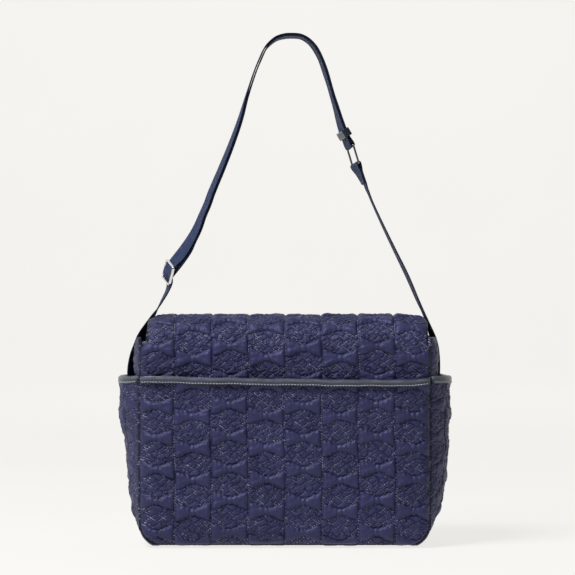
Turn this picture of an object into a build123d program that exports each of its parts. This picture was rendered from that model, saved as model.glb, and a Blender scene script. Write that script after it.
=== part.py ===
from build123d import *
from math import cos, radians, sin
import os

# A quilted messenger-style diaper bag with a fold-over flap and an adjustable
# webbing shoulder strap.  Millimetres, +Z up.  The origin is the middle of the
# base, on the surface that the bag stands on.  +X runs along the bag's width,
# -Y is its back face, with the slip pocket, and +Y its front, under the flap.

# Body
STRIP_HALF_WIDTH = 180.0      # outer face of the gusset strip
STRIP_THICKNESS = 5.0
CORNER_RADIUS = 28.0          # outer radius of the two bottom corners
BODY_HALF_DEPTH = 66.0        # outer faces of the front and back panels
PANEL_THICKNESS = 4.0
RIM_HEIGHT = 250.0            # top of the panels and gussets
SEW_GAP = 0.2                 # room left where two curved pieces are sewn together

# Lining and base
BOARD_THICKNESS = 2.0
LINING_THICKNESS = 0.8
LINING_HALF_WIDTH = 171.0
LINING_HALF_DEPTH = 59.0      # outer face of the lining's front and back walls
LINING_FLOOR = 7.8
LINING_TOP = 246.0
LINING_CORNER = 20.0
BOARD_HALF_WIDTH = 148.0

# Slip pocket on the back
POCKET_GAP = 6.4              # depth of the back pocket
POCKET_THICKNESS = 4.0
POCKET_TOP = 196.0
BINDING_HEIGHT = 9.0          # leather binding on the pocket edges
BINDING_PROUD = 1.0

# Side pockets
SIDE_HALF_DEPTH = 65.8        # the pockets span the whole gusset
SIDE_WALL = 3.0
SIDE_OUTER = [(180.3, 24.0), (187.5, 40.0), (190.0, 110.0), (198.0, 150.0), (200.0, 196.0)]
SIDE_BOTTOM = 34.0            # inside floor of a side pocket
SIDE_FOOT = (185.2, 46.0)     # where its inside begins to widen

# Flap
FLAP_LEFT = -160.0
FLAP_RIGHT = 165.0
FLAP_TOP = 278.0
FLAP_SHOULDER = 26.0          # radius where the flap turns over each top edge
FLAP_THICKNESS = 4.0
FLAP_FRONT_FACE = 72.0
FLAP_BOTTOM = 88.0
FLAP_SEAM = RIM_HEIGHT + 1.0  # lower edge of the flap at the back

# Strap.  Its middle line lies in the XZ plane, and its width runs along Y.
WEB_WIDTH = 38.0
WEB_THICKNESS = 1.6
LAYER_OFFSET = 1.1            # each layer of the doubled strap, from its middle line
SWING_HEIGHT = 300.0          # height at which the strap tips fore and aft
SWING_GAP = 0.2
LEFT_FOOT = (-151.0, SWING_HEIGHT)
RIGHT_FOOT = (159.0, SWING_HEIGHT)
LEFT_BEND = (-93.0, 416.0)    # upper end of the straight run that the slider rides
CROWN = [(-37.0, 575.0), (-8.0, 617.0), (22.0, 617.0), (49.0, 577.0)]
CROWN_RADII = [200.0, 90.0, 20.0, 20.0, 70.0]
RING_TOP = (78.0, 479.0)      # upper bar of the rectangular ring
RING_LOW = (89.0, 457.5)      # lower bar
BAR_RADIUS = 1.4
BAR_CLEARANCE = 0.4
RING_HALF_WIDTH = 21.8        # middles of the ring's two side bars
TAIL_LENGTH = 26.0            # sewn-back end of the lower strap
ANCHOR_X = 181.5              # webbing lies against the outside of the gusset
ANCHOR_LOW = 150.0
ANCHOR_BEND = 254.0
SLIDER_STATION = 33.0         # from the swing line to the slider's centre bar
SLIDER_HALF_LENGTH = 13.5
SLIDER_FACE = 3.6             # frame plane, outside the webbing
SLIDER_BAR = -3.5             # centre bar, inside it
KEEPER_STATION = 20.0         # from the ring's top bar to the keeper's middle
KEEPER_LENGTH = 12.0
KEEPER_WALL = 1.6

# Inside the bag
ZIP_HEIGHT = 190.0
ZIP_HALF_LENGTH = 90.0
ZIP_SLIDER_X = 70.0
TAPE_HALF_HEIGHT = 14.0
POUCH_BOTTOM = 70.0
PULL_LENGTH = 26.0
INNER_POCKET_HALF_WIDTH = 120.0
INNER_POCKET_BOTTOM = 60.0
INNER_POCKET_TOP = 180.0
INNER_POCKET_GAP = 9.0
INNER_POCKET_WALL = 1.2
ELASTIC_HEIGHT = 12.0
SNAP_X = 110.0
SNAP_HEIGHT = 122.0
SNAP_RADIUS = 8.0

os.makedirs("parts", exist_ok=True)


def save(node, shape):
    export_step(shape, f"parts/{node}.step")


def block(low, high):
    """A box from its lowest to its highest corner."""
    size = [b - a for a, b in zip(low, high)]
    middle = [(a + b) / 2 for a, b in zip(low, high)]
    return Pos(*middle) * Box(*size)


def prism_xz(points, y_low, y_high):
    """A closed outline of (x, z) points, extruded from y_low to y_high."""
    face = make_face(Polyline(*[(x, y_high, z) for x, z in points], close=True))
    return extrude(face, amount=y_high - y_low, dir=(0, -1, 0))


def prism_yz(face_points, x_low, x_high):
    """A closed outline of (y, z) points, extruded from x_low to x_high."""
    face = make_face(Polyline(*[(x_low, y, z) for y, z in face_points], close=True))
    return extrude(face, amount=x_high - x_low, dir=(1, 0, 0))


def tub(half_width, radius, z_low, z_high, y_low, y_high):
    """A slab with straight sides, a flat top and two round bottom corners."""
    slab = block((-half_width, y_low, z_low), (half_width, y_high, z_high))
    corners = slab.edges().filter_by(Axis.Y).group_by(Axis.Z)[0]
    return fillet(corners, radius)


def rod(start, end, radius):
    """A round bar between two points."""
    start = Vector(*start)
    run = Vector(*end) - start
    return Solid.make_cylinder(radius, run.length, Plane(origin=start, z_dir=run))


def disc(x, y_low, y_high, z, radius):
    return rod((x, y_low, z), (x, y_high, z), radius)


# ---------------------------------------------------------------- outer shell

def body_panel(y_low, y_high, top):
    """A panel that fits inside the U of the gusset strip."""
    inset = STRIP_THICKNESS + SEW_GAP
    return tub(STRIP_HALF_WIDTH - inset, CORNER_RADIUS - inset, inset, top, y_low, y_high)


def build_shell():
    back_face = -BODY_HALF_DEPTH
    front_face = BODY_HALF_DEPTH
    save("back_panel", body_panel(back_face, back_face + PANEL_THICKNESS, RIM_HEIGHT))
    save("front_panel", body_panel(front_face - PANEL_THICKNESS, front_face, RIM_HEIGHT))

    # One strip runs down each side, round the corner and along the base.
    outer = tub(STRIP_HALF_WIDTH, CORNER_RADIUS, 0, RIM_HEIGHT, back_face, front_face)
    inner = tub(
        STRIP_HALF_WIDTH - STRIP_THICKNESS,
        CORNER_RADIUS - STRIP_THICKNESS,
        STRIP_THICKNESS,
        RIM_HEIGHT + 1,
        back_face - 1,
        front_face + 1,
    )
    strip = outer - inner
    seam_x = STRIP_HALF_WIDTH - CORNER_RADIUS
    reach = STRIP_HALF_WIDTH + 5
    depth = BODY_HALF_DEPTH + 5
    top = RIM_HEIGHT + 5
    save("gusset_left", strip & block((-reach, -depth, -5), (-seam_x, depth, top)))
    save("gusset_right", strip & block((seam_x, -depth, -5), (reach, depth, top)))
    save("base_panel", block((-seam_x, back_face, 0), (seam_x, front_face, STRIP_THICKNESS)))


def build_lining():
    board_low = STRIP_THICKNESS + SEW_GAP
    board = block(
        (-BOARD_HALF_WIDTH, -LINING_HALF_DEPTH, board_low),
        (BOARD_HALF_WIDTH, LINING_HALF_DEPTH, board_low + BOARD_THICKNESS),
    )
    save("base_board", board)
    outer = tub(
        LINING_HALF_WIDTH,
        LINING_CORNER,
        LINING_FLOOR,
        LINING_TOP,
        -LINING_HALF_DEPTH,
        LINING_HALF_DEPTH,
    )
    wall = LINING_THICKNESS
    inner = tub(
        LINING_HALF_WIDTH - wall,
        LINING_CORNER - wall,
        LINING_FLOOR + wall,
        LINING_TOP + 1,
        wall - LINING_HALF_DEPTH,
        LINING_HALF_DEPTH - wall,
    )
    save("lining", outer - inner)

    # Bound edge that closes the gap between the lining and the panels.
    hem_outer = block(
        (-LINING_HALF_WIDTH, 0.3 - BODY_HALF_DEPTH + PANEL_THICKNESS, LINING_TOP + 0.2),
        (LINING_HALF_WIDTH, BODY_HALF_DEPTH - PANEL_THICKNESS - 0.3, RIM_HEIGHT),
    )
    hem_inner = block(
        (wall - LINING_HALF_WIDTH, wall - LINING_HALF_DEPTH, 0),
        (LINING_HALF_WIDTH - wall, LINING_HALF_DEPTH - wall, RIM_HEIGHT + 1),
    )
    save("rim_binding", hem_outer - hem_inner)


# --------------------------------------------------------------- outer pockets

def build_back_pocket():
    back_face = -BODY_HALF_DEPTH
    outer_face = back_face - POCKET_GAP - POCKET_THICKNESS
    pocket = body_panel(outer_face, back_face - 0.1, POCKET_TOP)
    rim = STRIP_THICKNESS + SEW_GAP + POCKET_THICKNESS
    cavity = tub(
        STRIP_HALF_WIDTH - rim,
        CORNER_RADIUS - rim,
        rim,
        POCKET_TOP + 1,
        back_face - POCKET_GAP,
        back_face + 1,
    )
    save("back_pocket", pocket - cavity)
    half_width = STRIP_HALF_WIDTH - STRIP_THICKNESS - SEW_GAP
    binding = block(
        (-half_width, outer_face - BINDING_PROUD, POCKET_TOP + 0.1),
        (half_width, back_face - POCKET_GAP + 0.4, POCKET_TOP + BINDING_HEIGHT),
    )
    save("back_pocket_binding", binding)


def side_pocket():
    """The right-hand side pocket: a slanting outer wall, two ends and a pinched base."""
    inner_x = SIDE_OUTER[0][0]
    top_x, top_z = SIDE_OUTER[-1]
    outline = SIDE_OUTER + [(inner_x, top_z)]
    shell = prism_xz(outline, -SIDE_HALF_DEPTH, SIDE_HALF_DEPTH)
    hollow = [(x - SIDE_WALL, z) for x, z in SIDE_OUTER[2:]]
    hollow = [(inner_x - 1, SIDE_BOTTOM), SIDE_FOOT] + hollow
    hollow = hollow + [(top_x - SIDE_WALL, top_z + 5), (inner_x - 1, top_z + 5)]
    half_depth = SIDE_HALF_DEPTH - SIDE_WALL
    return shell - prism_xz(hollow, -half_depth, half_depth)


def side_binding():
    """Leather binding round the three free sides of the right-hand pocket's mouth."""
    inner_x = SIDE_OUTER[0][0]
    top_x, top_z = SIDE_OUTER[-1]
    low = top_z + 0.1
    high = top_z + BINDING_HEIGHT
    ring = block((inner_x, -SIDE_HALF_DEPTH, low), (top_x, SIDE_HALF_DEPTH, high))
    half_depth = SIDE_HALF_DEPTH - SIDE_WALL
    mouth = block((inner_x - 1, -half_depth, 0), (top_x - SIDE_WALL, half_depth, high + 1))
    return ring - mouth


def build_side_pockets():
    pieces = {"side_pocket": side_pocket(), "side_pocket_binding": side_binding()}
    for name, piece in pieces.items():
        save(f"{name}_right", piece)
        save(f"{name}_left", mirror(piece, about=Plane.YZ))


# ------------------------------------------------------------------------ flap

def flap_top_section(outer_offset, thickness):
    """Section of the flap from the back seam over the shoulder, and forward."""
    radius = FLAP_SHOULDER - outer_offset
    centre_y = FLAP_SHOULDER - BODY_HALF_DEPTH
    centre_z = FLAP_TOP - FLAP_SHOULDER
    steps = 8
    outer = []
    inner = []
    for step in range(steps + 1):
        angle = radians(180 - 90 * step / steps)
        y, z = cos(angle), sin(angle)
        outer.append((centre_y + radius * y, centre_z + radius * z))
        inner.append((centre_y + (radius - thickness) * y, centre_z + (radius - thickness) * z))
    front_y = FLAP_FRONT_FACE - FLAP_SHOULDER
    outer = [(outer[0][0], FLAP_SEAM)] + outer + [(front_y, FLAP_TOP - outer_offset)]
    inner = [(inner[0][0], FLAP_SEAM)] + inner
    inner = inner + [(front_y, FLAP_TOP - outer_offset - thickness)]
    return outer + inner[::-1]


def flap_front_section(outer_offset, thickness, bottom):
    """Section of the flap from the front fold down over the front of the bag."""
    radius = FLAP_SHOULDER - outer_offset
    centre_y = FLAP_FRONT_FACE - FLAP_SHOULDER
    centre_z = FLAP_TOP - FLAP_SHOULDER
    steps = 8
    outer = []
    inner = []
    for step in range(steps + 1):
        angle = radians(90 - 90 * step / steps)
        y, z = cos(angle), sin(angle)
        outer.append((centre_y + 0.3 + radius * y, centre_z + radius * z))
        inner.append((centre_y + 0.3 + (radius - thickness) * y, centre_z + (radius - thickness) * z))
    outer.append((outer[-1][0], bottom))
    inner.append((inner[-1][0], bottom))
    return outer + inner[::-1]


def build_flap():
    left, right = FLAP_LEFT, FLAP_RIGHT
    lining_offset = FLAP_THICKNESS + 0.1
    top_panel = prism_yz(flap_top_section(0, FLAP_THICKNESS), left, right)
    top_lining = prism_yz(flap_top_section(lining_offset, LINING_THICKNESS), left + 2, right - 2)
    save("flap_top_panel", top_panel)
    save("flap_top_lining", top_lining)
    front = flap_front_section(0, FLAP_THICKNESS, FLAP_BOTTOM)
    front_lining = flap_front_section(lining_offset, LINING_THICKNESS, FLAP_BOTTOM)
    panel = prism_yz(front, left, right)
    skin = prism_yz(front_lining, left + 2, right - 2)
    for x in (-SNAP_X, SNAP_X):
        skin -= disc(x, FLAP_FRONT_FACE - 10, FLAP_FRONT_FACE, SNAP_HEIGHT, SNAP_RADIUS + 0.3)
    save("flap_front_panel", panel)
    save("flap_front_lining", skin)
    edge = block(
        (left, FLAP_FRONT_FACE - FLAP_THICKNESS - 0.9, FLAP_BOTTOM - BINDING_HEIGHT),
        (right, FLAP_FRONT_FACE + 0.9, FLAP_BOTTOM - 0.1),
    )
    save("flap_binding", edge)


def build_snaps():
    """Two magnetic snaps: sockets on the bag, studs on the flap, plates behind both."""
    face = BODY_HALF_DEPTH
    flap_inside = FLAP_FRONT_FACE + 0.3 - FLAP_THICKNESS
    sockets = []
    socket_plates = []
    studs = []
    for x in (-SNAP_X, SNAP_X):
        socket = disc(x, face + 0.05, face + 1.0, SNAP_HEIGHT, SNAP_RADIUS)
        sockets.append(socket)
        plate_back = face - PANEL_THICKNESS - 0.1
        socket_plates.append(disc(x, plate_back - 0.8, plate_back, SNAP_HEIGHT, SNAP_RADIUS + 2))
        studs.append(disc(x, flap_inside - 0.95, flap_inside - 0.05, SNAP_HEIGHT, SNAP_RADIUS))
    save("snap_sockets", Compound(children=sockets))
    save("snap_socket_plates", Compound(children=socket_plates))
    save("snap_studs", Compound(children=studs))


# ----------------------------------------------------------------------- strap

def heading(start, end):
    """Unit direction between two (x, z) points."""
    run = Vector(end[0] - start[0], 0, end[1] - start[1])
    return run.normalized()


def step_from(point, direction, distance, sideways=0.0):
    """An (x, z) point so far along a direction, and so far to the left of it."""
    x = point[0] + direction.X * distance - direction.Z * sideways
    z = point[1] + direction.Z * distance + direction.X * sideways
    return (x, z)


def ribbon_piece(edge, near, far):
    """The part of a ribbon that follows one straight or round edge."""
    sides = []
    for shift in (near, far):
        side = []
        for place in (0, 0.5, 1):
            spot = edge.position_at(place)
            way = edge.tangent_at(place)
            side.append(Vector(spot.X - shift * way.Z, 0, spot.Z + shift * way.X))
        sides.append(side)
    first, second = sides
    if edge.geom_type == GeomType.LINE:
        long_edges = [Line(first[0], first[2]), Line(second[2], second[0])]
    else:
        long_edges = [ThreePointArc(*first), ThreePointArc(*second[::-1])]
    outline = [long_edges[0], Line(first[2], second[2]), long_edges[1], Line(second[0], first[0])]
    face = make_face(outline)
    return extrude(face, amount=WEB_WIDTH / 2, dir=(0, 1, 0), both=True)


def ribbon(points, radii, offset=0.0, thickness=WEB_THICKNESS):
    """Webbing along (x, z) points; a positive offset moves it left of its run."""
    corners = [(x, 0, z) for x, z in points]
    path = FilletPolyline(*corners, radius=radii) if radii else Line(*corners)
    shape = None
    for edge in path.edges():
        piece = ribbon_piece(edge, offset - thickness / 2, offset + thickness / 2)
        shape = piece if shape is None else shape + piece
    return shape


def sleeve(centre):
    """Webbing folded once round a bar at an (x, z) point."""
    x, z = centre
    half = WEB_WIDTH / 2
    inner = BAR_RADIUS + BAR_CLEARANCE
    tube = rod((x, -half, z), (x, half, z), inner + WEB_THICKNESS)
    return tube - rod((x, -half - 1, z), (x, half + 1, z), inner)


def bar_loop(centre, direction):
    """A sleeve with the sewn neck that joins it to the doubled webbing."""
    inner = BAR_RADIUS + BAR_CLEARANCE
    near = step_from(centre, direction, inner + 0.4)
    far = step_from(centre, direction, inner + 6)
    hole = rod((centre[0], -30, centre[1]), (centre[0], 30, centre[1]), inner)
    neck = ribbon([near, far], None, thickness=2 * LAYER_OFFSET + WEB_THICKNESS) - hole
    return neck + sleeve(centre)


def beyond_feet():
    """Everything on the bag's side of the two swing planes."""
    left = block((-300, -60, 0), (LEFT_FOOT[0], 60, 700))
    right = block((RIGHT_FOOT[0], -60, 0), (300, 60, 700))
    return left, right


def build_strap():
    left_way = heading(LEFT_FOOT, LEFT_BEND)
    ring_way = heading(RING_TOP, CROWN[-1])
    loop_reach = BAR_RADIUS + BAR_CLEARANCE + 5
    route = [step_from(LEFT_FOOT, left_way, -10), LEFT_BEND] + CROWN
    route = route + [step_from(RING_TOP, ring_way, loop_reach)]

    # The outer layer is one length of webbing from the left foot to the ring.
    moving_side = block((LEFT_FOOT[0] + SWING_GAP, -60, 0), (300, 60, 700))
    outer = ribbon(route, CROWN_RADII, offset=LAYER_OFFSET) & moving_side
    save("strap_outer_layer", outer + bar_loop(RING_TOP, ring_way))

    # The inner layer comes back from the ring to the slider's centre bar.
    slider_middle = step_from(LEFT_FOOT, left_way, SLIDER_STATION)
    inner_route = list(route)
    inner_route[0] = step_from(slider_middle, left_way, SLIDER_HALF_LENGTH + 6)
    inner_route[-1] = step_from(RING_TOP, ring_way, loop_reach + 1.2)
    save("strap_inner_layer", ribbon(inner_route, CROWN_RADII, offset=-LAYER_OFFSET))

    # The lower strap runs from the ring to the right foot, with a sewn-back end.
    low_way = heading(RING_LOW, RIGHT_FOOT)
    start = step_from(RING_LOW, low_way, loop_reach)
    past_foot = step_from(RIGHT_FOOT, low_way, 10)
    tail_end = step_from(start, low_way, TAIL_LENGTH)
    lower = ribbon([start, past_foot], None, offset=-LAYER_OFFSET)
    lower &= block((0, -60, 0), (RIGHT_FOOT[0] - SWING_GAP, 60, 700))
    tail = ribbon([start, tail_end], None, offset=LAYER_OFFSET)
    seam = ribbon([start, step_from(start, low_way, 18)], None, thickness=2 * LAYER_OFFSET)
    save("strap_lower_right", lower + tail + seam + bar_loop(RING_LOW, low_way))
    build_ring()


def build_ring():
    """A rectangular wire ring that joins the two lengths of webbing."""
    wide = RING_HALF_WIDTH
    top = [(RING_TOP[0], y, RING_TOP[1]) for y in (-wide, wide)]
    low = [(RING_LOW[0], y, RING_LOW[1]) for y in (-wide, wide)]
    ring = rod(top[0], top[1], BAR_RADIUS) + rod(low[0], low[1], BAR_RADIUS)
    for upper, lower in zip(top, low):
        ring += rod(upper, lower, BAR_RADIUS)
    for corner in top + low:
        ring += Pos(*corner) * Sphere(BAR_RADIUS)
    save("strap_ring", ring)


def build_anchors():
    """The two fixed ends of the strap, sewn down inside the side pockets."""
    left_side, right_side = beyond_feet()
    left_way = heading(LEFT_FOOT, LEFT_BEND)
    right_way = heading(RIGHT_FOOT, RING_LOW)
    left = [
        (-ANCHOR_X, ANCHOR_LOW),
        (-ANCHOR_X, ANCHOR_BEND),
        step_from(LEFT_FOOT, left_way, 0, sideways=LAYER_OFFSET),
        step_from(LEFT_FOOT, left_way, 12, sideways=LAYER_OFFSET),
    ]
    right = [
        (ANCHOR_X, ANCHOR_LOW),
        (ANCHOR_X, ANCHOR_BEND),
        step_from(RIGHT_FOOT, right_way, 0, sideways=LAYER_OFFSET),
        step_from(RIGHT_FOOT, right_way, 12, sideways=LAYER_OFFSET),
    ]
    save("strap_anchor_left", ribbon(left, [20, 60]) & left_side)
    save("strap_anchor_right", ribbon(right, [20, 60]) & right_side)


def build_slider():
    """A three-bar slide: the frame outside the webbing, its middle bar inside."""
    way = heading(LEFT_FOOT, LEFT_BEND)
    centre = step_from(LEFT_FOOT, way, SLIDER_STATION)
    wide = RING_HALF_WIDTH

    def spot(distance, sideways, y):
        x, z = step_from(centre, way, distance, sideways)
        return (x, y, z)

    reach = SLIDER_HALF_LENGTH
    frame = None
    for end in (-reach, reach):
        bar = rod(spot(end, SLIDER_FACE, -wide), spot(end, SLIDER_FACE, wide), BAR_RADIUS)
        frame = bar if frame is None else frame + bar
    for y in (-wide, wide):
        frame += rod(spot(-reach, SLIDER_FACE, y), spot(reach, SLIDER_FACE, y), BAR_RADIUS)
        frame += rod(spot(0, SLIDER_FACE, y), spot(0, SLIDER_BAR, y), BAR_RADIUS)
        for end in (-reach, reach):
            frame += Pos(*spot(end, SLIDER_FACE, y)) * Sphere(BAR_RADIUS)
        frame += Pos(*spot(0, SLIDER_BAR, y)) * Sphere(BAR_RADIUS)
    frame += rod(spot(0, SLIDER_BAR, -wide), spot(0, SLIDER_BAR, wide), BAR_RADIUS)
    save("slider_frame", frame)

    # The end of the inner layer is folded round the middle bar and sewn to itself.
    bar_at = step_from(centre, way, 0, SLIDER_BAR)
    loop_top = step_from(bar_at, way, 16)
    inner = BAR_RADIUS + BAR_CLEARANCE
    hole = rod((bar_at[0], -30, bar_at[1]), (bar_at[0], 30, bar_at[1]), inner)
    neck = ribbon([step_from(bar_at, way, inner + 0.4), loop_top], None, thickness=3.2) - hole
    save("slider_loop", neck + sleeve(bar_at))


def slab_on(edge, half_thickness, half_width):
    """A straight bar round an edge, so thick across the strap and so wide along Y."""
    start, end = edge.position_at(0), edge.position_at(1)
    plane = Plane(origin=start, x_dir=(0, 1, 0), z_dir=end - start)
    face = plane * Rectangle(2 * half_width, 2 * half_thickness)
    return extrude(face, amount=(end - start).length)


def build_keeper():
    """A leather loop round both layers of the strap, just above the ring."""
    way = heading(RING_TOP, CROWN[-1])
    low = step_from(RING_TOP, way, KEEPER_STATION - KEEPER_LENGTH / 2)
    high = step_from(RING_TOP, way, KEEPER_STATION + KEEPER_LENGTH / 2)
    half_gap = LAYER_OFFSET + WEB_THICKNESS / 2 + 0.4
    line = Line((low[0], 0, low[1]), (high[0], 0, high[1])).edges()[0]
    inner = slab_on(line, half_gap, WEB_WIDTH / 2 + 0.6)
    outer = slab_on(line, half_gap + KEEPER_WALL, WEB_WIDTH / 2 + 0.6 + KEEPER_WALL)
    save("strap_keeper", outer - inner)


# ---------------------------------------------------------------- inside pieces

def build_zip_pocket():
    """A zipped pocket on the inside of the back wall."""
    wall_y = LINING_THICKNESS - LINING_HALF_DEPTH
    half = ZIP_HALF_LENGTH
    tape_front = wall_y + 1.1
    tape = block(
        (-half, wall_y + 0.1, ZIP_HEIGHT - TAPE_HALF_HEIGHT),
        (half, tape_front, ZIP_HEIGHT + TAPE_HALF_HEIGHT),
    )
    save("zip_tape", tape)
    coil_front = tape_front + 1.7
    coil = block(
        (-half + 4, tape_front + 0.1, ZIP_HEIGHT - 2.5), (half - 4, coil_front, ZIP_HEIGHT + 2.5)
    )
    save("zip_coil", coil)
    stops = []
    for x in (-half + 1.6, half - 1.6):
        low = (x - 1.4, tape_front + 0.1, ZIP_HEIGHT - 3)
        high = (x + 1.4, coil_front + 0.6, ZIP_HEIGHT + 3)
        stops.append(block(low, high))
    save("zip_stops", Compound(children=stops))
    pouch_back = -BODY_HALF_DEPTH + PANEL_THICKNESS + 0.4
    pouch = block(
        (-half - 8, pouch_back, POUCH_BOTTOM),
        (half + 8, pouch_back + 1.6, ZIP_HEIGHT + 18),
    )
    save("zip_pouch", pouch)

    # The slider is a channel over the coil, with a bridge that holds the pull.
    slider_low = coil_front + 0.3
    body = block(
        (ZIP_SLIDER_X - 5, slider_low, ZIP_HEIGHT - 4.8),
        (ZIP_SLIDER_X + 5, slider_low + 1.6, ZIP_HEIGHT + 4.8),
    )
    for side in (-1, 1):
        near = ZIP_HEIGHT + side * 3.4
        far = ZIP_HEIGHT + side * 4.8
        body += block(
            (ZIP_SLIDER_X - 5, tape_front + 0.3, min(near, far)),
            (ZIP_SLIDER_X + 5, slider_low + 0.1, max(near, far)),
        )
    pin_y = slider_low + 3.4
    pin_z = ZIP_HEIGHT - 1
    pin = rod((ZIP_SLIDER_X - 3.6, pin_y, pin_z), (ZIP_SLIDER_X + 3.6, pin_y, pin_z), 0.7)
    for x_low in (ZIP_SLIDER_X - 3.6, ZIP_SLIDER_X + 2.4):
        ear_low = (x_low, slider_low + 1.5, pin_z - 1.4)
        body += block(ear_low, (x_low + 1.2, pin_y + 1.2, pin_z + 1.4))
    save("zip_slider", body + pin)
    grip = block(
        (ZIP_SLIDER_X - 2.1, pin_y - 0.7, pin_z - PULL_LENGTH),
        (ZIP_SLIDER_X + 2.1, pin_y + 0.7, pin_z),
    )
    eye = rod((ZIP_SLIDER_X - 2.1, pin_y, pin_z), (ZIP_SLIDER_X + 2.1, pin_y, pin_z), 1.7)
    hole = rod((ZIP_SLIDER_X - 5, pin_y, pin_z), (ZIP_SLIDER_X + 5, pin_y, pin_z), 0.78)
    save("zip_pull", grip + eye - hole)


def build_inner_pocket():
    """An open pocket for bottles on the inside of the front wall."""
    wall_y = LINING_HALF_DEPTH - LINING_THICKNESS - 0.1
    wide = INNER_POCKET_HALF_WIDTH
    wall = INNER_POCKET_WALL
    front_y = wall_y - INNER_POCKET_GAP - wall
    outer = block((-wide, front_y, INNER_POCKET_BOTTOM), (wide, wall_y, INNER_POCKET_TOP))
    hollow = block(
        (-wide + wall, front_y + wall, INNER_POCKET_BOTTOM + wall),
        (wide - wall, wall_y + 1, INNER_POCKET_TOP + 1),
    )
    save("inner_pocket", outer - hollow)
    top = INNER_POCKET_TOP + 0.1
    elastic = block((-wide, front_y - 0.4, top), (wide, front_y + 1.4, top + ELASTIC_HEIGHT))
    save("inner_pocket_elastic", elastic)


build_shell()
build_lining()
build_back_pocket()
build_side_pockets()
build_flap()
build_snaps()
build_strap()
build_anchors()
build_slider()
build_keeper()
build_zip_pocket()
build_inner_pocket()
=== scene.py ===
import math

import bpy
import numpy as np
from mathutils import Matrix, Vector


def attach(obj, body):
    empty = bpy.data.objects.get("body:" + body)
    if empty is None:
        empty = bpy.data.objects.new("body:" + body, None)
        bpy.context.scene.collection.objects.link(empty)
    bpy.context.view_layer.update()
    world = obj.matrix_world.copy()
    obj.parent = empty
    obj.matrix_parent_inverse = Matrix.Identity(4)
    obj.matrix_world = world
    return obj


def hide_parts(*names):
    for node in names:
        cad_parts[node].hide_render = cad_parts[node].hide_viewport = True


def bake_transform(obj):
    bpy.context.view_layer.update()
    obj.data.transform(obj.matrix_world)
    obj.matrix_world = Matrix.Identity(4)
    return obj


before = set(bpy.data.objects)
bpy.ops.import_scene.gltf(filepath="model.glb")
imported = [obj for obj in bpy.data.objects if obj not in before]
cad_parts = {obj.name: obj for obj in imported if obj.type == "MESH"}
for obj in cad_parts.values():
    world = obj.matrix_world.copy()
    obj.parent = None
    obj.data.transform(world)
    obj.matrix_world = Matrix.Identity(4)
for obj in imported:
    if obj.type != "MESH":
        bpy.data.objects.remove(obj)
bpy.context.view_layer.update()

# The bag is worked out in millimetres, in the frame of the CAD model: +X along its
# width, -Y its back face, +Z up, with the origin in the middle of the base.
MM = 0.001

SEAM_X = 174.0          # seams between the big panels and the gussets
CORNER = 28.0           # radius of the bottom corners
COLUMN = 44.0           # width of one column of the quilting
REPEAT = 38.0           # height of one repeat
STAGGER = 13.0          # every other column is moved down by this much
PUFF = 4.3              # height of the fullest pillow


# ------------------------------------------------------------------ small tools

def smooth(value, low, high):
    t = np.clip((value - low) / (high - low), 0, 1)
    return t * t * (3 - 2 * t)


def wander(a, b, seed, scale=1.0):
    """Smooth wandering between about -1 and 1, over two coordinates in millimetres."""
    rng = np.random.default_rng(seed)
    total = np.zeros(np.broadcast(a, b).shape)
    for octave in range(5):
        size = 90.0 * scale / (1.6 ** octave)
        turn = rng.uniform(0, 2 * math.pi)
        phase = rng.uniform(0, 2 * math.pi, 2)
        p = (a * math.cos(turn) + b * math.sin(turn)) / size * 2 * math.pi
        q = (b * math.cos(turn) - a * math.sin(turn)) / size * 2 * math.pi
        total += np.sin(p + phase[0]) * np.cos(q + phase[1]) / (1.35 ** octave)
    return total / 2.4


def cell_noise(column, row, seed):
    """A repeatable number from -1 to 1 for each cell of the quilting."""
    value = np.sin(column * 127.1 + row * 311.7 + seed * 74.7) * 43758.5453
    return 2 * (value - np.floor(value)) - 1


def catmull(points, count):
    """count points along a smooth curve through the given ones, evenly spaced."""
    points = np.array(points, float)
    padded = np.vstack([2 * points[0] - points[1], points, 2 * points[-1] - points[-2]])
    fine = []
    for k in range(len(points) - 1):
        p0, p1, p2, p3 = padded[k:k + 4]
        for t in np.linspace(0, 1, 40, endpoint=False):
            fine.append(0.5 * (2 * p1 + (p2 - p0) * t + (2 * p0 - 5 * p1 + 4 * p2 - p3) * t * t
                               + (3 * p1 - p0 - 3 * p2 + p3) * t ** 3))
    fine = np.array(fine + [points[-1]])
    length = np.concatenate([[0], np.cumsum(np.linalg.norm(np.diff(fine, axis=0), axis=1))])
    spots = np.linspace(0, length[-1], count)
    return np.stack([np.interp(spots, length, fine[:, k]) for k in range(points.shape[1])], 1), spots


def unit(v):
    return v / np.maximum(np.linalg.norm(v, axis=-1, keepdims=True), 1e-9)


def grid_normals(P, centre=(0, 0, 120)):
    """Normals of a grid of points, facing away from the bag's middle."""
    n = unit(np.cross(np.gradient(P, axis=0), np.gradient(P, axis=1)))
    side = np.sum(n * (P - np.array(centre, float)), axis=(-1)).mean()
    return n if side > 0 else -n


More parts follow.
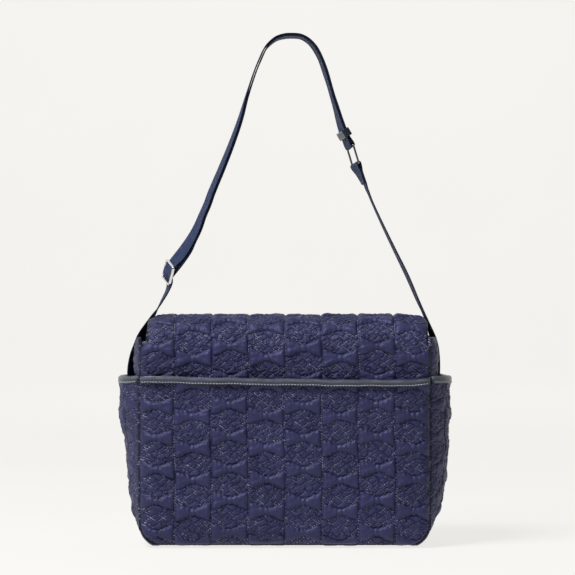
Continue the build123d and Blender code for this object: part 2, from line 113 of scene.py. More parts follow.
def build_mesh(name, verts, faces, material, channels=None, uv=None):
    """A mesh object from points in millimetres, with its faces turned outwards."""
    verts = np.asarray(verts, float)
    faces = [tuple(int(i) for i in f) for f in faces]
    corners = np.array([(f[0], f[k], f[k + 1]) for f in faces for k in range(1, len(f) - 1)])
    p, q, r = (verts[corners[:, k]] for k in range(3))
    if np.sum(p * np.cross(q, r)) < 0:
        faces = [f[::-1] for f in faces]
    mesh = bpy.data.meshes.new(name)
    mesh.from_pydata((verts * MM).tolist(), [], faces)
    mesh.polygons.foreach_set("use_smooth", [True] * len(mesh.polygons))
    for key, values in (channels or {}).items():
        layer = mesh.attributes.new(key, "FLOAT", "POINT")
        layer.data.foreach_set("value", np.asarray(values, np.float32).ravel())
    if uv is not None:
        layer = mesh.uv_layers.new(name="UVMap")
        loops = np.zeros(len(mesh.loops), np.int32)
        mesh.loops.foreach_get("vertex_index", loops)
        layer.data.foreach_set("uv", np.asarray(uv, np.float32)[loops].ravel())
    mesh.update()
    obj = bpy.data.objects.new(name, mesh)
    bpy.context.scene.collection.objects.link(obj)
    mesh.materials.append(material)
    return obj


def grid_faces(nu, nv, start=0):
    i, j = np.meshgrid(np.arange(nu - 1), np.arange(nv - 1), indexing="ij")
    a = start + i * nv + j
    return np.stack([a, a + nv, a + nv + 1, a + 1], -1).reshape(-1, 4)


def coarse_faces(nu, nv, start, step):
    """Faces of a grid in blocks of step cells, still meeting every border point."""
    rows = list(range(0, nu - 1, step)) + [nu - 1]
    cols = list(range(0, nv - 1, step)) + [nv - 1]
    faces = []
    for i0, i1 in zip(rows[:-1], rows[1:]):
        for j0, j1 in zip(cols[:-1], cols[1:]):
            loop = [(i, j0) for i in (range(i0, i1) if j0 == 0 else (i0,))]
            loop += [(i1, j) for j in (range(j0, j1) if i1 == nu - 1 else (j0,))]
            loop += [(i, j1) for i in (range(i1, i0, -1) if j1 == nv - 1 else (i1,))]
            loop += [(i0, j) for j in (range(j1, j0, -1) if i0 == 0 else (j1,))]
            faces.append([start + i * nv + j for i, j in loop])
    return faces


def border(nu, nv):
    """Grid indices round the border, and of the neighbour one step inside each."""
    ring = [(i, 0) for i in range(nu)] + [(nu - 1, j) for j in range(1, nv)]
    ring += [(i, nv - 1) for i in range(nu - 2, -1, -1)] + [(0, j) for j in range(nv - 2, 0, -1)]
    inside = [(min(max(i, 1), nu - 2), min(max(j, 1), nv - 2)) for i, j in ring]
    return np.array(ring), np.array(inside)


def slab(name, outer, inner, material, channels=None, rim=0.5, step=6):
    """A closed sheet between two grids of points, with a rounded edge and a coarser inside."""
    nu, nv = outer.shape[:2]
    ring, inside = border(nu, nv)
    count = len(ring)
    top = outer[ring[:, 0], ring[:, 1]]
    low = inner[ring[:, 0], ring[:, 1]]
    away = unit(top - outer[inside[:, 0], inside[:, 1]])
    thick = np.linalg.norm(top - low, axis=1, keepdims=True)
    rows = []
    for k in (1, 2, 3):
        angle = math.pi * k / 4
        share = (1 - math.cos(angle)) / 2
        rows.append(top * (1 - share) + low * share + away * thick * rim * math.sin(angle))
    verts = np.vstack([outer.reshape(-1, 3), inner.reshape(-1, 3)] + rows)
    faces = [list(f) for f in grid_faces(nu, nv)]
    faces += [f[::-1] for f in coarse_faces(nu, nv, nu * nv, step)]
    rings = [ring[:, 0] * nv + ring[:, 1]]
    rings += [2 * nu * nv + k * count + np.arange(count) for k in range(3)]
    rings += [nu * nv + ring[:, 0] * nv + ring[:, 1]]
    for first, second in zip(rings[:-1], rings[1:]):
        following = np.roll(np.arange(count), -1)
        faces += [list(f) for f in np.stack([first[following], first, second, second[following]], -1)]
    used = np.zeros(len(verts), bool)
    used[np.concatenate(faces)] = True
    place = np.cumsum(used) - 1
    faces = [[place[i] for i in f] for f in faces]
    full = {}
    for key, values in (channels or {}).items():
        edge = values[ring[:, 0], ring[:, 1]]
        full[key] = np.concatenate([values.ravel(), np.full(nu * nv, 9.0)] + [edge] * 3)[used]
    return build_mesh(name, verts[used], faces, material, full)


# -------------------------------------------------------------------- quilting

def quilting(a, b, seed=0):
    """Height of the quilting, from 0 to 1, and signed distances to its stitch lines.

    a runs across the fabric and b up it, in millimetres.  Each column repeats a
    waisted pillow, with diamonds, rings and scallops stitched between pillows.
    """
    a2 = a + 0.9 * np.sin(b / 23 + 1.3 + seed) + 0.55 * wander(a, b, seed + 70, 0.22)
    b2 = b + 0.9 * np.sin(a / 27 + 0.5 + seed) + 0.55 * wander(a, b, seed + 71, 0.22)
    column = np.floor(a2 / COLUMN)
    x = a2 - COLUMN * (column + 0.5)
    lift = np.where(np.mod(column, 2) == 0, 0.0, STAGGER)
    place = (b2 + lift) / REPEAT
    row = np.floor(place)
    y = (place - row - 0.5) * REPEAT
    jitter = cell_noise(column, row, seed)
    reach = np.abs(x)
    half = (5.0 + 5.6 * smooth(reach, 1, 19) + 0.4 * np.cos(reach * 1.05)) * (1 + 0.06 * jitter)
    seam = COLUMN / math.pi * np.sin(math.pi * a2 / COLUMN)
    pillow = np.abs(y) - half
    rise = y - np.sign(y) * REPEAT / 2
    shift = x + 1.6 * jitter
    zig = 3.1 * (4 * np.abs(np.mod(shift / 14.6, 1) - 0.5) - 1)
    upper, lower = (rise - zig - 1.7) / 1.3, (rise + zig + 2.6) / 1.3
    chevron = (np.abs(rise) - 0.8 * np.abs(np.mod(shift + 3.6, 14.6) - 7.3) - 5.2) / 1.28
    ring = np.hypot(reach - 10.8, np.abs(rise) - 8.2) - 2.9
    scallop = np.hypot(np.mod(shift, 6.6) - 3.3, rise - 0.4) - 2.2
    filled = np.minimum.reduce([np.abs(pillow), np.abs(upper), np.abs(lower), np.abs(ring), np.abs(chevron)])
    filled = np.minimum(filled, np.abs(scallop))
    inside = pillow < 0
    near = np.minimum(np.where(inside, -pillow, filled), np.abs(seam))
    dome = 1 - np.clip(1 - near / 6.5, 0, 1) ** 2
    small = 1 - np.clip(1 - near / 1.9, 0, 1) ** 2
    height = np.where(inside, 0.2 * small + 0.8 * dome ** 0.8, 0.20 + 0.35 * small ** 0.8)
    turn = y / np.maximum(half, 1)
    creases = 0.07 * np.sin(turn * 8.0 + 3 * jitter + 0.2 * reach) * smooth(reach, 3, 14)
    pinch = -0.13 * np.exp(-((reach - 3.1) / 1.1) ** 2)
    height += np.where(inside, creases + pinch, 0) * (1 - np.exp(-near / 1.8))
    pucker = 0.055 * np.sin(b2 * 1.45 + 2.2 * np.sin(b2 / 9 + column)) * np.exp(-np.abs(seam) / 3.5)
    pucker += 0.05 * np.sin(a2 * 1.55 + 2.0 * np.sin(a2 / 8 + row)) * np.exp(-np.abs(pillow) / 2.6)
    height = (height + pucker) * (1 + 0.13 * jitter)
    outside = np.where(inside, 9.0, 0.0)
    lines = {
        "st_seam": seam,
        "st_pillow": pillow,
        "st_cross": np.minimum(np.abs(upper), np.abs(lower)) + outside,
        "st_ring": np.minimum(np.abs(ring), np.abs(chevron)) + outside,
        # Depth below the pillow tops, for the material's painted shade in the hollows.
        "st_hollow_shade": np.clip(1 - height, 0, 1),
    }
    return height, lines


def quilted(name, P, a, b, material, thickness=4.0, puff=PUFF, edge=7.0, seed=0,
            wrinkle=0.5, free=(False, False, False, False)):
    """A quilted panel over a grid of points, its stitch lines lying on the grid.

    free says which edges, u low, u high, v low, v high, keep their full padding.
    """
    height, lines = quilting(a, b, seed)
    n = grid_normals(P)
    along_u = np.linalg.norm(np.gradient(P, axis=0), axis=-1)
    along_v = np.linalg.norm(np.gradient(P, axis=1), axis=-1)
    from_u = np.cumsum(along_u, axis=0)
    from_v = np.cumsum(along_v, axis=1)
    gaps = [from_u - from_u[:1], from_u[-1:] - from_u, from_v - from_v[:, :1], from_v[:, -1:] - from_v]
    near = np.full(a.shape, 1e3)
    for gap, is_free in zip(gaps, free):
        if not is_free:
            near = np.minimum(near, gap)
    mask = 1 - np.exp(-(near / edge) ** 1.2)
    folds = wander(a, b, seed + 11, 0.35) * wrinkle + wander(a, b, seed + 12, 0.14) * wrinkle * 0.35
    outer = P + n * ((height * puff * mask) + folds * mask)[..., None]
    inner = P - n * thickness
    # Distance to the panel's border, which the material uses for painted shade along the seams.
    lines["st_edge"] = near
    obj = slab(name, outer, inner, material, lines)
    return obj


# ------------------------------------------------------------------- materials

class Paint:
    """A procedural material, built node by node."""

    def __init__(self, name):
        self.material = bpy.data.materials.new(name)
        self.material.use_nodes = True
        self.nodes = self.material.node_tree.nodes
        self.links = self.material.node_tree.links
        self.nodes.clear()
        self.shader = self.nodes.new("ShaderNodeBsdfPrincipled")
        output = self.nodes.new("ShaderNodeOutputMaterial")
        self.links.new(self.shader.outputs[0], output.inputs["Surface"])
        self.coords = self.nodes.new("ShaderNodeTexCoord").outputs["Object"]
        self.bumps = None

    def put(self, socket, value):
        if isinstance(value, bpy.types.NodeSocket):
            self.links.new(value, socket)
        elif value is not None:
            socket.default_value = value

    def math(self, operation, first, second=None):
        node = self.nodes.new("ShaderNodeMath")
        node.operation = operation
        for socket, value in zip(node.inputs, (first, second)):
            self.put(socket, value)
        return node.outputs[0]

    def ramp(self, value, low, high, out_low=0.0, out_high=1.0):
        node = self.nodes.new("ShaderNodeMapRange")
        node.interpolation_type = "SMOOTHSTEP"
        for key, number in (("From Min", low), ("From Max", high), ("To Min", out_low), ("To Max", out_high)):
            node.inputs[key].default_value = number
        self.put(node.inputs["Value"], value)
        return node.outputs["Result"]

    def noise(self, scale, detail=3.0, roughness=0.5):
        node = self.nodes.new("ShaderNodeTexNoise")
        node.inputs["Scale"].default_value = scale
        node.inputs["Detail"].default_value = detail
        node.inputs["Roughness"].default_value = roughness
        self.links.new(self.coords, node.inputs["Vector"])
        return node.outputs["Fac"]

    def cells(self, scale):
        node = self.nodes.new("ShaderNodeTexVoronoi")
        node.inputs["Scale"].default_value = scale
        self.links.new(self.coords, node.inputs["Vector"])
        return node.outputs["Distance"]

    def blend(self, share, first, second):
        node = self.nodes.new("ShaderNodeMix")
        node.data_type = "RGBA"
        self.put(node.inputs["Factor"], share)
        self.put(node.inputs[6], first if isinstance(first, bpy.types.NodeSocket) else (*first, 1))
        self.put(node.inputs[7], second if isinstance(second, bpy.types.NodeSocket) else (*second, 1))
        return node.outputs[2]

    def bump(self, height, distance, strength=1.0):
        node = self.nodes.new("ShaderNodeBump")
        node.inputs["Strength"].default_value = strength
        node.inputs["Distance"].default_value = distance
        self.put(node.inputs["Height"], height)
        if self.bumps is not None:
            self.links.new(self.bumps, node.inputs["Normal"])
        self.bumps = node.outputs[0]

    def attribute(self, name):
        node = self.nodes.new("ShaderNodeAttribute")
        node.attribute_name = name
        return node.outputs["Fac"]

    def axes(self, coords=None):
        node = self.nodes.new("ShaderNodeSeparateXYZ")
        self.put(node.inputs[0], coords or self.coords)
        return node.outputs

    def uv_axes(self):
        node = self.nodes.new("ShaderNodeUVMap")
        node.uv_map = "UVMap"
        return self.axes(node.outputs[0])

    def finish(self, colour, roughness, **values):
        plain = not isinstance(colour, bpy.types.NodeSocket)
        self.put(self.shader.inputs["Base Color"], (*colour, 1) if plain else colour)
        self.put(self.shader.inputs["Roughness"], roughness)
        for key, value in values.items():
            self.put(self.shader.inputs[key.replace("_", " ")], value)
        if self.bumps is not None:
            self.links.new(self.bumps, self.shader.inputs["Normal"])
        return self.material


STITCH_LINES = ("st_seam", "st_pillow", "st_cross", "st_ring")


def quilt_material():
    """Satin navy nylon and stitch threads, with painted highlights glinting on the threads and painted shade
    in the hollows, along the stitch grooves and along the panel borders.
    """
    p = Paint("quilted_nylon")
    x, y, z = p.axes()
    groove, line = None, None
    for name in STITCH_LINES:
        gap = p.math("ABSOLUTE", p.attribute(name))
        wide, thin = p.ramp(gap, 0.2, 1.2, 1.0, 0.0), p.ramp(gap, 0.2, 0.62, 1.0, 0.0)
        groove = wide if groove is None else p.math("MAXIMUM", groove, wide)
        line = thin if line is None else p.math("MAXIMUM", line, thin)
    # Stitch threads: a dashed mask, lit in noise patches; their lighter colour below is a painted highlight,
    # not the thread's own colour.
    travel = p.math("ADD", p.math("MULTIPLY", p.math("ADD", x, y), 0.72), z)
    dash = p.ramp(p.math("SINE", p.math("MULTIPLY", travel, 2 * math.pi / 0.0031)), -0.2, 0.3)
    shine = p.ramp(p.noise(75, 3), 0.40, 0.62)
    thread = p.math("MULTIPLY", p.math("MULTIPLY", line, dash), shine)
    hollow_shade = p.ramp(p.attribute("st_hollow_shade"), 0.45, 1.0)
    edge = p.ramp(p.attribute("st_edge"), 0.0, 3.6, 1.0, 0.0)
    tone = p.blend(p.ramp(p.noise(16, 3), 0.3, 0.7), (0.0245, 0.0255, 0.072), (0.031, 0.032, 0.092))
    # Painted shade in the hollows of the quilting.
    tone = p.blend(p.math("MULTIPLY", hollow_shade, 0.24), tone, (0.016, 0.016, 0.040))
    # Painted shade along the stitch grooves.
    tone = p.blend(p.math("MULTIPLY", groove, 0.30), tone, (0.006, 0.006, 0.016))
    # Painted shade along the panel's borders, where the seams are.
    tone = p.blend(p.math("MULTIPLY", edge, 0.85), tone, (0.004, 0.004, 0.011))
    # Painted highlight: glints on the stitch threads.
    tone = p.blend(p.math("MULTIPLY", thread, 0.85), tone, (0.34, 0.34, 0.50))
    p.bump(p.noise(150, 5, 0.62), 0.0016, 0.55)
    p.bump(p.noise(420, 3, 0.6), 0.00045, 0.5)
    weave = p.math("MULTIPLY", p.math("SINE", p.math("MULTIPLY", p.math("ADD", x, y), 9500.0)),
                   p.math("SINE", p.math("MULTIPLY", p.math("SUBTRACT", z, y), 9500.0)))
    p.bump(weave, 0.00006, 0.45)
    p.bump(p.math("SUBTRACT", thread, groove), 0.0009, 0.8)
    rough = p.ramp(p.noise(55, 4), 0.2, 0.8, 0.36, 0.50)
    return p.finish(tone, rough, Specular_IOR_Level=0.30, Specular_Tint=(0.66, 0.68, 1.0, 1.0))


def lining_material():
    """Thin woven lining."""
    p = Paint("lining_cloth")
    x, y, z = p.axes()
    tone = p.blend(p.ramp(p.noise(30, 4), 0.3, 0.7), (0.072, 0.083, 0.125), (0.098, 0.110, 0.160))
    warp = p.math("SINE", p.math("MULTIPLY", p.math("ADD", x, y), 7000.0))
    weft = p.math("SINE", p.math("MULTIPLY", z, 7000.0))
    p.bump(p.noise(70, 4), 0.0012, 0.6)
    p.bump(p.math("MULTIPLY", warp, weft), 0.00008, 0.6)
    return p.finish(tone, p.ramp(p.noise(90, 2), 0.2, 0.8, 0.55, 0.75), Sheen_Weight=0.2)


def leather_material(name, low, high, folded=False, gloss=0.5):
    """Leather with a fine grain; when folded, a painted highlight along the upper part of its section and
    painted shade towards the lower edge.
    """
    p = Paint(name)
    grain = p.cells(950)
    patch = p.noise(45, 4)
    tone = p.blend(p.ramp(patch, 0.3, 0.7), low, high)
    tone = p.blend(p.ramp(p.noise(400, 5), 0.55, 0.8, 0, 0.4), tone, tuple(1.6 * c for c in high))
    if folded:
        # Painted highlight: lighter along the upper part of the section, where light falls on the rounded
        # top.
        up = p.uv_axes()[0]
        top_highlight = p.math("MULTIPLY", p.ramp(up, 0.2, 2.0), p.ramp(up, 3.1, 4.4, 1, 0))
        uneven = p.ramp(p.noise(70, 3), 0.3, 0.7, 0.45, 1.0)
        tone = p.blend(p.math("MULTIPLY", top_highlight, uneven), tone, (0.105, 0.115, 0.150))
        # Painted shade: darker towards the lower edge of the section.
        tone = p.blend(p.ramp(up, -1.0, -3.8, 0, 0.75), tone, (0.006, 0.008, 0.015))
    p.bump(p.noise(160, 4), 0.0006, 0.5)
    p.bump(grain, 0.00022, 0.55)
    return p.finish(tone, p.ramp(p.noise(300, 3), 0.3, 0.7, 0.28, 0.42), Specular_IOR_Level=gloss)


def webbing_material():
    """Close-woven webbing: herringbone ribs along its length."""
    p = Paint("navy_webbing")
    across, along, _ = p.uv_axes()
    rib = p.math("PINGPONG", across, 1.6)
    slant = p.math("SINE", p.math("MULTIPLY", p.math("ADD", along, rib), 2 * math.pi / 1.5))
    ridge = p.math("SINE", p.math("MULTIPLY", across, 2 * math.pi / 1.6))
    weave = p.math("ADD", slant, p.math("MULTIPLY", ridge, 0.7))
    shade = p.ramp(weave, -1.7, 1.7)
    tone = p.blend(shade, (0.007, 0.016, 0.058), (0.022, 0.042, 0.125))
    tone = p.blend(p.ramp(p.noise(60, 4), 0.45, 0.75, 0, 0.35), tone, (0.026, 0.045, 0.115))
    # Painted shade on the webbing's two edges.
    tone = p.blend(p.ramp(p.math("ABSOLUTE", across), 18.2, 18.9), tone, (0.003, 0.006, 0.020))
    p.bump(weave, 0.00028, 0.8)
    p.bump(p.noise(1400, 3), 0.0002, 0.4)
    return p.finish(tone, p.ramp(p.noise(200, 3), 0.3, 0.7, 0.5, 0.7), Specular_IOR_Level=0.15)


def thread_material(name, tone):
    p = Paint(name)
    colour = p.blend(p.ramp(p.noise(900, 2), 0.3, 0.7), tone, tuple(min(1, 1.35 * c) for c in tone))
    p.bump(p.noise(3000, 2), 0.0001, 0.5)
    return p.finish(colour, 0.5, Sheen_Weight=0.3)


def metal_material(name, tone, roughness):
    """Plated metal with faint scratches and a slightly uneven polish."""
    p = Paint(name)
    smear = p.noise(240, 5, 0.6)
    rough = p.ramp(smear, 0.25, 0.75, roughness * 0.7, roughness * 1.5)
    colour = p.blend(p.ramp(p.noise(90, 3), 0.3, 0.7), tone, tuple(0.9 * c for c in tone))
    p.bump(p.noise(700, 4), 0.00006, 0.4)
    return p.finish(colour, rough, Metallic=1.0)


def plastic_material(name, tone, ribs=None):
    p = Paint(name)
    x = p.axes()[0]
    colour = p.blend(p.ramp(p.noise(120, 3), 0.3, 0.7), tone, tuple(1.25 * c for c in tone))
    if ribs:
        p.bump(p.math("SINE", p.math("MULTIPLY", x, 2 * math.pi / ribs)), 0.0004, 1.0)
    p.bump(p.noise(1500, 2), 0.00008, 0.4)
    return p.finish(colour, p.ramp(p.noise(300, 2), 0.3, 0.7, 0.35, 0.5))


QUILT = quilt_material()
LINING = lining_material()
# folded=True gives the trims a painted highlight on top and painted shade below.
LEATHER = leather_material("slate_leather", (0.022, 0.027, 0.043), (0.034, 0.040, 0.060), folded=True)
KEEPER_LEATHER = leather_material("navy_leather", (0.009, 0.012, 0.022), (0.016, 0.020, 0.034), gloss=0.22)
WEBBING = webbing_material()
THREAD = thread_material("trim_thread", (0.34, 0.38, 0.48))
WEB_THREAD = thread_material("webbing_thread", (0.05, 0.07, 0.14))
CHROME = metal_material("polished_plate", (0.80, 0.80, 0.80), 0.16)
# The ring's plate: the same silver as the polished plate, its tone darkened to stand for dark reflections
# (painted reflection).
CHROME_PAINTED_DARK = metal_material("chrome_painted_dark_reflection", (0.17, 0.17, 0.18), 0.12)
STEEL = metal_material("satin_steel", (0.60, 0.61, 0.63), 0.34)
ZIP_TAPE = lining_material()
ZIP_COIL = plastic_material("nylon_coil", (0.045, 0.05, 0.09), ribs=0.0015)
BOARD = plastic_material("stiffener_board", (0.09, 0.09, 0.10))


# ------------------------------------------------------------- quilted shell

def mesh_grid(nu, nv):
    return np.meshgrid(np.linspace(-1, 1, nu), np.linspace(0, 1, nv), indexing="ij")


def half_width(z, radius=26.0, floor=4.5):
    """Half width of a big panel at a height, with its round bottom corners."""
    rise = np.clip(radius - (z - floor), 0, radius)
    return SEAM_X - radius + np.sqrt(radius ** 2 - rise ** 2)


# The slip pocket's mouth, as (x, z): it sags, most of all right of the middle.
MOUTH = [(-176, 206.2), (-150, 206.1), (-120, 205.6), (-80, 204.6), (-6, 203.4), (60, 202.4), (105, 202.0),
         (140, 202.3), (165, 203.4), (176, 204.4)]


def pocket_top(x):
    """Height of the slip pocket's mouth."""
    line, _ = catmull(MOUTH, 60)
    return np.interp(x, line[:, 0], line[:, 1])


def big_panel(top, facing, face, belly, crown, nu, nv, seed):
    """Grid of a big panel: it curves in to the gusset seams and bellies out between."""
    u, v = mesh_grid(nu, nv)
    rough_z = 4.5 + v * 200
    x = u * half_width(rough_z)
    z = 4.5 + v * (top(x) - 4.5)
    x = u * half_width(z)
    edge = np.minimum(half_width(z) - np.abs(x), z - 4.0)
    swell = 1 - np.exp(-np.maximum(edge, 0) / 8.0)
    middle = (1 - (x / SEAM_X) ** 2) * np.sin(np.pi * np.clip(z / 240, 0, 1))
    y = face + crown * swell + belly * middle + 1.1 * wander(x, z, seed, 1.2) * swell
    return np.stack([x, facing * y, z], -1), x, z


def back_pocket():
    P, a, b = big_panel(lambda x: pocket_top(x) - 3.0, -1, 66.5, 3.0, 8.5, 392, 224, 3)
    obj = quilted("back_pocket_quilt", P, a, b, QUILT, seed=0, free=(False, False, False, True))
    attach(obj, "bag")
    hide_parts("back_pocket")


def inner_back_panel():
    P, a, b = big_panel(lambda x: 0 * x + 196, -1, 60.5, 0.0, 2.0, 120, 70, 5)
    obj = quilted("back_panel_quilt", P, a, b, QUILT, thickness=2.0, puff=1.6, seed=2)
    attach(obj, "bag")


def front_panel():
    P, a, b = big_panel(lambda x: 250 - 5 * (1 - (x / SEAM_X) ** 2), 1, 60.5, 0.5, 3.0, 240, 170, 7)
    obj = quilted("front_panel_quilt", P, a, b, QUILT, thickness=3.0, puff=2.0, seed=4)
    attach(obj, "bag")
    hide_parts("front_panel")


# Section of the back, over the shoulder and along the roof, as (y, z).
BACK_SECTION = [(-64.5, 188), (-68, 203), (-70.5, 221), (-70, 238), (-66, 254), (-56, 267.0),
                (-42, 273.5), (-20, 275.5), (10, 275.5), (40, 275)]
FRONT_SECTION = [(40, 275), (55, 271.5), (66, 262), (71.5, 246), (73, 222), (73, 165), (72.5, 115),
                 (72.3, 86)]
FLAP_LEFT, FLAP_RIGHT = -165.0, 171.0
SNAP_X, SNAP_HEIGHT = 110.0, 122.0
SKIN = 3.2              # padding thickness of the flap and the gussets


def flap_grid(section, nu, nv, b_start, left, right, seed, droop):
    """Grid of a flap piece that follows a section, with its two side edges given."""
    path, length = catmull(section, nv)
    u = np.linspace(0, 1, nu)[:, None]
    lo, hi = left(path[:, 1])[None], right(path[:, 1])[None]
    x = lo + (hi - lo) * u
    tangent = unit(np.gradient(path, axis=0))
    normal = np.stack([-tangent[:, 1], tangent[:, 0]], -1)
    edge = np.minimum(x - lo, hi - x)
    b = np.broadcast_to(b_start + length[None], x.shape)
    lift = 1.5 * wander(x, b, seed, 1.0) - droop * np.exp(-edge / 9.0)
    y = path[None, :, 0] + normal[None, :, 0] * lift
    z = path[None, :, 1] + normal[None, :, 1] * lift
    return np.stack([x, y, z], -1), x, b, path


def flap_pieces():
    """The quilted back and roof in one piece, and the flap's front in another."""
    def left(z):
        return -SEAM_X + (FLAP_LEFT + SEAM_X) * smooth(z, 238, 250)

    def right(z):
        return SEAM_X + (FLAP_RIGHT - SEAM_X) * smooth(z, 238, 250)

    P, a, b, _ = flap_grid(BACK_SECTION, 330, 236, 194.0, left, right, 21, 3.0)
    roof = quilted("flap_top_quilt", P, a, b, QUILT, thickness=SKIN, seed=0, edge=6.0,
                   free=(False, False, True, True))
    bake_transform(roof)
    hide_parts("flap_top_panel", "back_panel")
    b_next = b[0, -1]
    flap_lining("flap_top_lining", P)

    P, a, b, _ = flap_grid(FRONT_SECTION, 330, 236, b_next, lambda z: FLAP_LEFT + 0 * z,
                           lambda z: FLAP_RIGHT + 0 * z, 22, 2.0)
    front = quilted("flap_front_quilt", P, a, b, QUILT, thickness=SKIN, seed=0, edge=6.0,
                    free=(False, False, True, False))
    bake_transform(front)
    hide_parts("flap_front_panel")
    flap_lining("flap_front_lining", P)


def flap_lining(node, P):
    """The smooth inside of a flap piece, a little smaller than its outside."""
    if node == "flap_top_lining":
        P = P[:, P.shape[1] * 2 // 5:]
    P = P[3:-3:4, ::4]
    n = grid_normals(P)
    ripple = 0.4 * wander(P[..., 0], P[..., 1] + P[..., 2], 61, 0.4)[..., None]
    reach = np.hypot(np.abs(P[..., 0]) - SNAP_X, P[..., 2] - SNAP_HEIGHT)
    held = np.exp(-(reach / 13.0) ** 4)[..., None] * (P[..., 1:2] > 60)
    outer = P - n * (4.3 + ripple) * (1 - held) - n * 3.3 * held
    obj = slab(node + "_cloth", outer, outer - n * 0.7, LINING)
    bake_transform(obj)
    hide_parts(node)


def gusset(side, name):
    """One side of the strip that joins front and back, down to the base."""
    drop, bend = 223.0, math.pi / 2 * CORNER
    s = np.linspace(0, drop + bend, 250)
    y = np.linspace(-1, 1, 130)
    arc = np.clip(s - drop, 0, bend) / CORNER
    x0 = 174.5 - CORNER + CORNER * np.cos(arc)
    z0 = np.where(s < drop, 251.0 - s, CORNER - CORNER * np.sin(arc)) + 0.8 * (s > drop) * np.sin(arc)
    out_x, out_z = np.cos(arc), -np.sin(arc)
    S, T = np.meshgrid(s, y, indexing="ij")
    height = z0[:, None] + 0 * T
    arch = 1 - np.abs(T) ** (2.2 + 3.0 * smooth(height, 190, 215))
    flare = 5.4 if side < 0 else 9.2
    belly = 1.5 + flare * smooth(height, 180, 208) - 1.5 * smooth(height, 240, 251)
    belly = belly - (flare - 2.6) * np.exp(-(T / 0.42) ** 4) * smooth(height, 180, 212)
    belly = belly * (1 - 0.8 * smooth(S, drop - 10, drop + 20)) + 1.0 * smooth(S, drop, drop + 20)
    off = belly * arch + 1.6 * wander(S, T * 66, 31 + side, 0.6) * arch * smooth(height, 30, 60)
    x = x0[:, None] + out_x[:, None] * off
    z = height + out_z[:, None] * off - 3.0 * np.exp(-(T / 0.5) ** 2) * smooth(height, 238, 251)
    z = np.maximum(z, 3.3 * smooth(S, drop, drop + 30))
    P = np.stack([side * x, T * 66.0, z], -1)
    obj = quilted(name + "_quilt", P, T * 66.0 + 22, 260 - S, QUILT, thickness=SKIN, puff=2.4, seed=3,
                  wrinkle=0.9)
    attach(obj, "bag")
    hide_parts(name)


# How far each side pocket swells past the seam, as (z, swell).
SWELL = {
    -1: [(20, 1.0), (30, 5.0), (42, 9.0), (54, 10.5), (67, 13.5), (79, 13.5), (91, 15.0), (103, 17.0),
         (127, 18.0), (139, 22.0), (151, 24.5), (175, 25.5), (206, 25.0)],
    1: [(20, 2.0), (30, 6.0), (42, 10.5), (54, 15.0), (67, 17.5), (79, 19.5), (91, 20.0), (103, 21.5),
        (115, 23.0), (139, 23.0), (151, 24.0), (175, 24.5), (206, 25.0)],
}


def side_swell(side, z):
    line, _ = catmull(SWELL[side], 90)
    return np.interp(z, line[:, 0], line[:, 1])


def side_pocket_point(side, T, z, lift=0.0):
    """A point of the side pocket's outer wall: T runs from the back seam to the front."""
    arch = 1 - np.abs(T) ** 2.6
    x = 175.2 + side_swell(side, z) * arch + lift * np.maximum(arch, 0.25)
    return np.stack([side * x, T * 66.3, z], -1)


def side_mouth(T):
    return 204.5 - 2.5 * (1 - np.abs(T) ** 2)


def side_pocket(side, name):
    T, V = mesh_grid(168, 212)
    z = 22.0 + V * (side_mouth(T) - 2.0 - 22.0)
    P = side_pocket_point(side, T, z)
    P[..., 0] += side * 1.2 * wander(T * 66, z, 41 + side, 0.8) * (1 - T ** 4)
    obj = quilted(name + "_quilt", P, T * 70.0, z, QUILT, thickness=3.0, puff=2.6, seed=5, wrinkle=0.8,
                  free=(False, False, False, True))
    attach(obj, "bag")
    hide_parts(name)


def base_panel():
    u, v = np.meshgrid(np.linspace(-152, 152, 200), np.linspace(-66, 66, 90), indexing="ij")
    P = np.stack([u, v, 3.2 + 0 * u], -1)
    obj = quilted("base_panel_quilt", P, u, v + 19, QUILT, thickness=1.7, puff=2.2, seed=6, wrinkle=0.2)
    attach(obj, "bag")
    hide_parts("base_panel")


# ------------------------------------------------------------------ leather trim

TRIM_DENT = 0.35        # how far the row of stitches presses the leather in

def band(name, centre, up, out, height, thick, material, roundness=0.32, rows=10, uv=False, dent=0.0):
    """A strip with a rounded section, swept along a line of points.

    centre, up and out hold one row per point.  The section is height tall along up
    and thick deep along out, and dent presses a line in for a row of stitches.
    """
    angles = np.linspace(0, 2 * math.pi, 4 * rows, endpoint=False)
    power = roundness
    sx = np.sign(np.cos(angles)) * np.abs(np.cos(angles)) ** power * height / 2
    sy = np.sign(np.sin(angles)) * np.abs(np.sin(angles)) ** power * thick / 2
    sy = sy - dent * np.exp(-((sx + height * 0.27) / (height * 0.07)) ** 2) * (np.sin(angles) > 0)
    rings = centre[:, None] + up[:, None] * sx[None, :, None] + out[:, None] * sy[None, :, None]
    n, m = rings.shape[:2]
    verts = np.vstack([rings.reshape(-1, 3), centre[:1], centre[-1:]])
    k = np.arange(m)
    faces = []
    for i in range(n - 1):
        a, b = i * m + k, i * m + np.roll(k, -1)
        faces += list(np.stack([a, b, b + m, a + m], -1))
    first, last = n * m, n * m + 1
    faces += [(int(np.roll(k, -1)[j]), int(j), first) for j in k]
    faces += [(int((n - 1) * m + j), int((n - 1) * m + np.roll(k, -1)[j]), last) for j in k]
    coords = None
    if uv:
        length = np.concatenate([[0], np.cumsum(np.linalg.norm(np.diff(centre, axis=0), axis=1))])
        coords = np.stack([np.broadcast_to(sx[None], (n, m)), np.broadcast_to(length[:, None], (n, m))], -1)
        coords = np.vstack([coords.reshape(-1, 2), [[0, 0], [0, length[-1]]]])
    return build_mesh(name, verts, faces, material, uv=coords)


